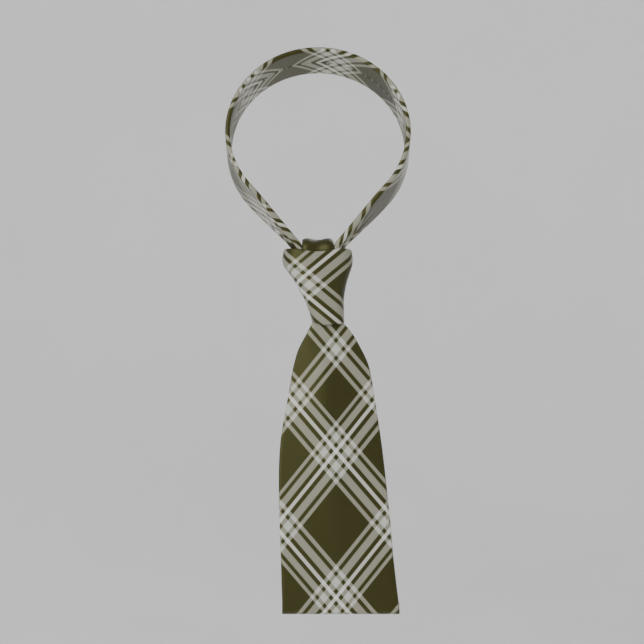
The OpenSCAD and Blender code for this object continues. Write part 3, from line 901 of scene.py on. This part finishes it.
def make_keeper():
    """The loop of cloth sewn to the back of the blade, which the tail passes through."""
    foot = 3 * MM
    left, right = keeper_low.x, keeper_high.x
    y_flat, y_over = BLADE_BACK + 0.7 * MM, keeper_high.y
    line = [(left, y_flat), (left + foot * 0.75, y_flat), (left + foot, y_flat + 0.5 * MM),
            (left + foot + 0.1 * MM, y_over - 0.8 * MM), (left + foot + 1.2 * MM, y_over)]
    start, span = left + foot + 1.2 * MM, right - left - 2 * foot - 2.4 * MM
    line += [(start + t * span, y_over - 0.1 * MM * (1 - math.sin(math.pi * t)))
             for t in np.linspace(0.04, 0.96, 24)]
    line += [(left + right - x, y) for x, y in reversed(line[:5])]
    line = np.array(line)
    way = unit(np.gradient(line, axis=0))
    height, middle = keeper_high.z - keeper_low.z, (keeper_high.z + keeper_low.z) / 2
    far = distances(line)
    points, uv = [], []
    for i, (x, y) in enumerate(line):
        across, d, run = section(-height / 2, height / 2, -0.3 * MM, 0.3 * MM, 0.55 * MM, counts=(5, 4, 12))
        inward = np.array([way[i, 1], -way[i, 0]])
        points.append(np.stack([x + inward[0] * d, y + inward[1] * d, middle + across], -1))
        uv.append(strap_cloth(run, far[i], 0.01))
    obj = sheet("keeper_cloth", points, uv, PLAID, 0.2 * MM)
    fit(obj, "front_blade", replaces=("keeper_loop",))
    stitches = [stitch(x, y_flat, z + 0.15 * MM, (0.6 * MM, 0.15 * MM), 0.22 * MM, 5)
                for x in (left + 1.2 * MM, right - 1.2 * MM)
                for z in np.arange(keeper_low.z + 0.8 * MM, keeper_high.z - 0.8 * MM, 0.9 * MM)]
    fit(tubes("keeper_stitches", stitches, 0.14 * MM, THREAD, 5), "front_blade")


make_tail()
make_tail_end()
make_keeper()
flat_label("blank_label_tape", label_low, label_high, BLADE_BACK, 1, TAPE, "front_blade", "blank_label")

# ------------------------ knot

KNOT_GAP_X = 35.6 * MM     # middle of the widest gap, beyond the knot's right side
KNOT_AXIS_Z = -107.0 * MM
ROLL = 1.4 * MM
BAND_W = 38 * MM           # width of the band, and of every strand that comes from it


# The knot's sides bow by this much, in millimetres, at heights from its lower edge up: height, left, right
BOW = np.array([(0, 0.9, 0.1), (8, 0.9, -0.1), (18, 0.5, -0.6), (28, -1.2, 0), (36, -2.2, 0),
                (42, -1.7, 0), (48, -0.8, 0), (55, 0, 0)]) * MM


def knot_ring(z):
    """Middle, half width, middle depth and half depth of the knot at a height."""
    z = np.clip(z, front_rows[0, 0], front_rows[-1, 0])
    left, right, front = [np.interp(z, front_rows[:, 0], front_rows[:, k]) for k in (1, 2, 3)]
    left = left + np.interp(z - KNOT_LOW, BOW[:, 0], BOW[:, 1])
    right = right + np.interp(z - KNOT_LOW, BOW[:, 0], BOW[:, 2])
    back = np.interp(z, back_rows[:, 0], back_rows[:, 4])
    return (left + right) / 2, (right - left) / 2, (front + back) / 2, (back - front) / 2


def knot_point(z, angle, inset):
    """A point on the knot's rounded oblong section. Angle 0 is the front, 90 the right."""
    cx, half, cy, depth = knot_ring(z)
    s, c = math.sin(angle), math.cos(angle)
    s, c = [math.copysign(abs(v) ** (2 / 2.6), v) for v in (s, c)]
    return cx + (half - inset) * s, cy - (depth - inset) * c


def knot_lower_edge(angle):
    """The wrap's lower edge dips to the left of its middle and rises to both sides."""
    x = knot_point(KNOT_LOW, angle, 0)[0]
    if math.cos(angle) < 0:
        return KNOT_LOW
    return float(np.interp(x, [-5 * MM, 4 * MM, 12 * MM, 19 * MM],
                           [KNOT_LOW + 1.2 * MM, KNOT_LOW - 1.0 * MM, KNOT_LOW - 0.5 * MM, KNOT_LOW]))


def knot_wall(name, angles, rows, top_line, nodes, crease, offset=0.0):
    """A wrapped wall of the knot, with its lower and upper edges rolled in."""
    lead = np.arange(0, angles[0], 2)      # the plaid runs on from the front's middle
    every = np.r_[lead, angles]
    points = np.zeros((rows + 12, len(every), 3))
    for c, a in enumerate(np.radians(every)):
        low, top = knot_lower_edge(a), top_line(a)
        roll = [(ROLL - ROLL * math.cos(t), ROLL + ROLL * math.sin(t)) for t in np.linspace(-1.1, 1.5, 6)]
        line = [(low + rise, inset) for rise, inset in reversed(roll)]
        line += [(z, 0.0) for z in np.linspace(low + ROLL, top - ROLL, rows)]
        line += [(top - rise, inset) for rise, inset in roll]
        for r, (z, inset) in enumerate(line):
            inset = inset + offset - crease(a, (z - low) / (top - low))
            points[r, c] = (*knot_point(z, a, inset), z)
    front = points[:, :, 0]
    step = np.linalg.norm(np.diff(points[:, :, :2], axis=1), axis=2)
    drift = np.abs(np.diff(front, axis=1))
    step = np.where(step > 1.3 * drift, step, drift)
    middle = int(np.argmin(np.abs(every)))
    run = np.concatenate([np.zeros((len(points), 1)), np.cumsum(step, axis=1)], axis=1)
    across = run - run[:, middle:middle + 1] + front[:, middle:middle + 1]
    uv = turned_cloth(across, points[:, :, 2], KNOT_GAP_X, KNOT_AXIS_Z)[:, len(lead):]
    wall = sheet(name, points[:, len(lead):], uv, PLAID, 0.8 * MM)
    fit(wall, "knot", replaces=nodes)


def front_crease(angle, height):
    """Soft drag lines that fan out from the knot's lower right corner, and a slightly hollow middle."""
    sweep = math.degrees(angle)
    fan = math.sin((sweep * 0.05 + height * 3.4) * 2.1)
    fade = math.exp(-((sweep + 10) / 55) ** 2) * math.sin(math.pi * min(max(height, 0), 1)) ** 0.7
    return (0.22 * fan - 0.25) * MM * fade


def back_crease(angle, height):
    sweep = math.degrees(angle) - 180
    fade = math.exp(-(sweep / 60) ** 2) * math.sin(math.pi * min(max(height, 0), 1))
    return 0.3 * MM * fade * math.sin(height * 9 + sweep * 0.04)


knot_wall("knot_front_cloth", np.linspace(-97, 97, 110), 56,
          lambda a: KNOT_TOP - 0.6 * MM - 2.2 * MM * math.exp(-(math.degrees(a) / 24) ** 2),
          ("knot_front_wrap",), front_crease)
knot_wall("knot_back_cloth", np.linspace(93, 267, 80), 40, lambda a: KNOT_TOP - 0.8 * MM,
          ("knot_back_wrap", "knot_inner_turn"), back_crease, 0.25 * MM)


def path_strip(name, centre, inward, side, widths, depth, pleats, phase, shear=None, rows=None):
    """A folded strip along any path, with soft pleats along it, and its ends cut on a slant by shear."""
    far = distances(centre)
    shear = np.zeros(len(centre)) if shear is None else shear

    def along(values, where):
        return np.stack([np.interp(where, far, values[:, k]) for k in range(3)], -1)

    points, uv = [], []
    for i in rows or range(len(centre)):
        w, t = widths[i], depth[i]
        x, d, across = section(-w / 2, w / 2, -0.3 * MM, 0.3 * MM, t, counts=(10, 8, 48))
        count, high = pleats[i]
        fade = smoothstep((w / 2 - np.abs(x)) / (t * 0.8)) * (d < t / 2)
        d = d + high * fade * np.cos(x / w * 2 * math.pi * count)
        where = far[i] + shear[i] * x
        middle = along(centre, where) if shear[i] else centre[i]
        way_in = along(inward, where) if shear[i] else inward[i]
        points.append(middle + np.outer(x, side[i]) + d[:, None] * way_in)
        uv.append(strap_cloth(across * (1 + 0.4 * (BAND_W / w - 1)), where, phase))
    return sheet(name, points, uv, PLAID, 0.6 * MM)


def make_over_strand():
    """The strand that comes up behind, over the top and down inside the front wrap."""
    cy, r = (arch_low.y + arch_high.y) / 2, (arch_high.y - arch_low.y) / 2
    z0 = arch_low.z
    turn = np.linspace(0, math.pi, 26)
    drop = np.linspace(0, 1, 12)[1:]
    foot = throat_low.y + 3.2 * MM
    line = [(0, cy + r, z0 - 12 * MM * t) for t in drop[::-1]]
    line += [(0, cy + r * math.cos(a), z0 + r * math.sin(a)) for a in turn]
    line += [(7 * MM * t, cy - r + t * (foot - cy + r), z0 + t * (KNOT_LOW + 9 * MM - z0)) for t in drop]
    line = np.array(line)
    way = unit(np.gradient(line, axis=0))
    side = np.tile([1.0, 0, 0], (len(line), 1))
    inward = unit(np.cross(side, way))
    share = np.r_[np.zeros(11), np.zeros(26), drop]
    widths = (arch_high.x - arch_low.x + 1 * MM) * (1 - 0.42 * share)
    depth = np.full(len(line), 3.4 * MM)
    pleats = [(1.5, 0.55 * MM * (1 - 0.6 * s)) for s in share]
    obj = path_strip("knot_over_strand", line, inward, side, widths, depth, pleats, 0.033)
    fit(obj, "knot", replaces=("knot_top_fold", "knot_throat"))


make_over_strand()

# ------------------------ neck band and its arms

mount = next(m for m in frame["record"]["mounts"] if m["name"] == "neck_loop")
LOOP_AXIS = np.array(mount["axis"])
LOOP_UP = np.array([0, LOOP_AXIS[2], -LOOP_AXIS[1]])
ACROSS = np.array([1.0, 0, 0])
LOOP_R = (core_high.x - core_low.x) / 2 - 1.3 * MM
ARM_X, ARM_DROP = 15 * MM, 84 * MM
SEAM_ANGLE = 25
SLANT = 0.6                # slope of the bias seams in the band


def loop_line():
    """The loop in its own plane, from the right arm's foot in the knot round the neck to the left one's."""
    reach = math.hypot(ARM_X, ARM_DROP)
    tangent = -math.acos(ARM_X / reach) + math.acos(LOOP_R / reach)
    start = LOOP_R * np.array([math.cos(tangent), math.sin(tangent)])
    foot = np.array([ARM_X, -ARM_DROP])
    inside = [foot + np.array([-3.4, -8.0]) * MM * t for t in np.linspace(1, 0, 6)[:-1]]
    arm = [foot + (start - foot) * t for t in np.linspace(0, 1, 36)[:-1]]
    ring = [LOOP_R * np.array([math.cos(a), math.sin(a)])
            for a in np.linspace(tangent, math.pi - tangent, 150)]
    right = inside + arm
    return np.array(right + ring + [p * np.array([-1, 1]) for p in reversed(right)])


LOOP = loop_line()
LOOP_FAR = distances(LOOP)
LOOP_WAY = unit(np.gradient(LOOP, axis=0))
LOOP_OUT = np.stack([LOOP_WAY[:, 1], -LOOP_WAY[:, 0]], -1)


def in_world(flat):
    return np.outer(flat[:, 0], ACROSS) + np.outer(flat[:, 1], LOOP_UP)


def outward(turn):
    """The way out of the loop at a turn round it."""
    return ACROSS * math.cos(turn) + LOOP_UP * math.sin(turn)


def make_band():
    gather = 1 - smoothstep((np.minimum(LOOP_FAR, LOOP_FAR[-1] - LOOP_FAR) - 6 * MM) / (56 * MM))
    width = BAND_W - (BAND_W - 15 * MM) * gather
    depth = 3.6 * MM + 1.6 * MM * gather
    angles = np.degrees(np.arctan2(LOOP[:, 1], LOOP[:, 0]))
    angles = np.where(angles < -90, angles + 360, angles)
    first = int(np.argmax(angles > SEAM_ANGLE))
    last = len(LOOP) - first
    out = in_world(LOOP_OUT)
    face = in_world(LOOP) + out * (depth / 2)[:, None]
    side = np.tile(LOOP_AXIS, (len(LOOP), 1))
    parts = [("tail_side_cloth", 0, first + 1, 0.05, ("tail_side_panel", "passive_arm", "narrow_strand")),
             ("neck_cloth", first, last, 0.115, ("neck_panel",)),
             ("blade_side_cloth", last - 1, len(LOOP), 0.19,
              ("blade_side_panel", "active_arm", "active_strand"))]
    pleats = [(2.5, 1.0 * MM * g ** 1.5) for g in gather]
    near = np.minimum(np.abs(LOOP_FAR - LOOP_FAR[first]), np.abs(LOOP_FAR - LOOP_FAR[last - 1]))
    shear = SLANT * np.where(LOOP_FAR < LOOP_FAR[-1] / 2, 1, -1) * (1 - smoothstep(near / (60 * MM)))
    gather_up = ("neck_band", "knot", (0, 0, -14 * MM), (0, 0, KNOT_TOP + 2 * MM))
    for name, a, b, phase, nodes in parts:
        obj = path_strip(name, face, -out, side, width, depth, pleats, phase, shear, rows=range(a, b))
        if name == "neck_cloth":
            fit(obj, "neck_band", replaces=nodes)
        else:
            fit(obj, blend=gather_up, replaces=nodes)
    ring = (angles > -6) & (angles < 186)
    points, uv = [], []
    for p, o, far in zip(in_world(LOOP[ring]), out[ring], LOOP_FAR[ring]):
        x = np.linspace(-BAND_W / 2 + 2 * MM, BAND_W / 2 - 2 * MM, 20)
        points.append(p + o * 0.6 * MM + np.outer(x, LOOP_AXIS))
        uv.append(strap_cloth(x, far, 0))
    core = sheet("neck_interlining_cloth", points, uv, CANVAS, 0.8 * MM, -LOOP_UP)
    fit(core, "neck_band", replaces=("neck_interlining",))
    seams = []
    for a in (SEAM_ANGLE, 180 - SEAM_ANGLE):
        lean = SLANT if a < 90 else -SLANT
        path = []
        for x in np.linspace(-1, 1, 40) * (BAND_W / 2 - 1.0 * MM):
            o = outward(math.radians(a) + lean * x / LOOP_R)
            path.append(o * (LOOP_R + 1.72 * MM) + LOOP_AXIS * x)
        seams.append(path)
    fit(tubes("band_seams", seams, 0.34 * MM, DARK_THREAD, 8), "neck_band",
        replaces=("panel_seams",))
    stitches = []
    for a in np.arange(-4, 184.1, 5.5):
        o, along = outward(math.radians(a)), outward(math.radians(a + 90))
        p = o * (LOOP_R - 1.85 * MM)
        half = LOOP_AXIS * 1.4 * MM + along * 0.6 * MM
        stitches.append(arc_stitch(p - half, p + half, -o * 0.22 * MM))
    fit(tubes("neck_slip_stitches", stitches, 0.16 * MM, THREAD), "neck_band",
        replaces=("neck_slip_stitch",))


make_band()
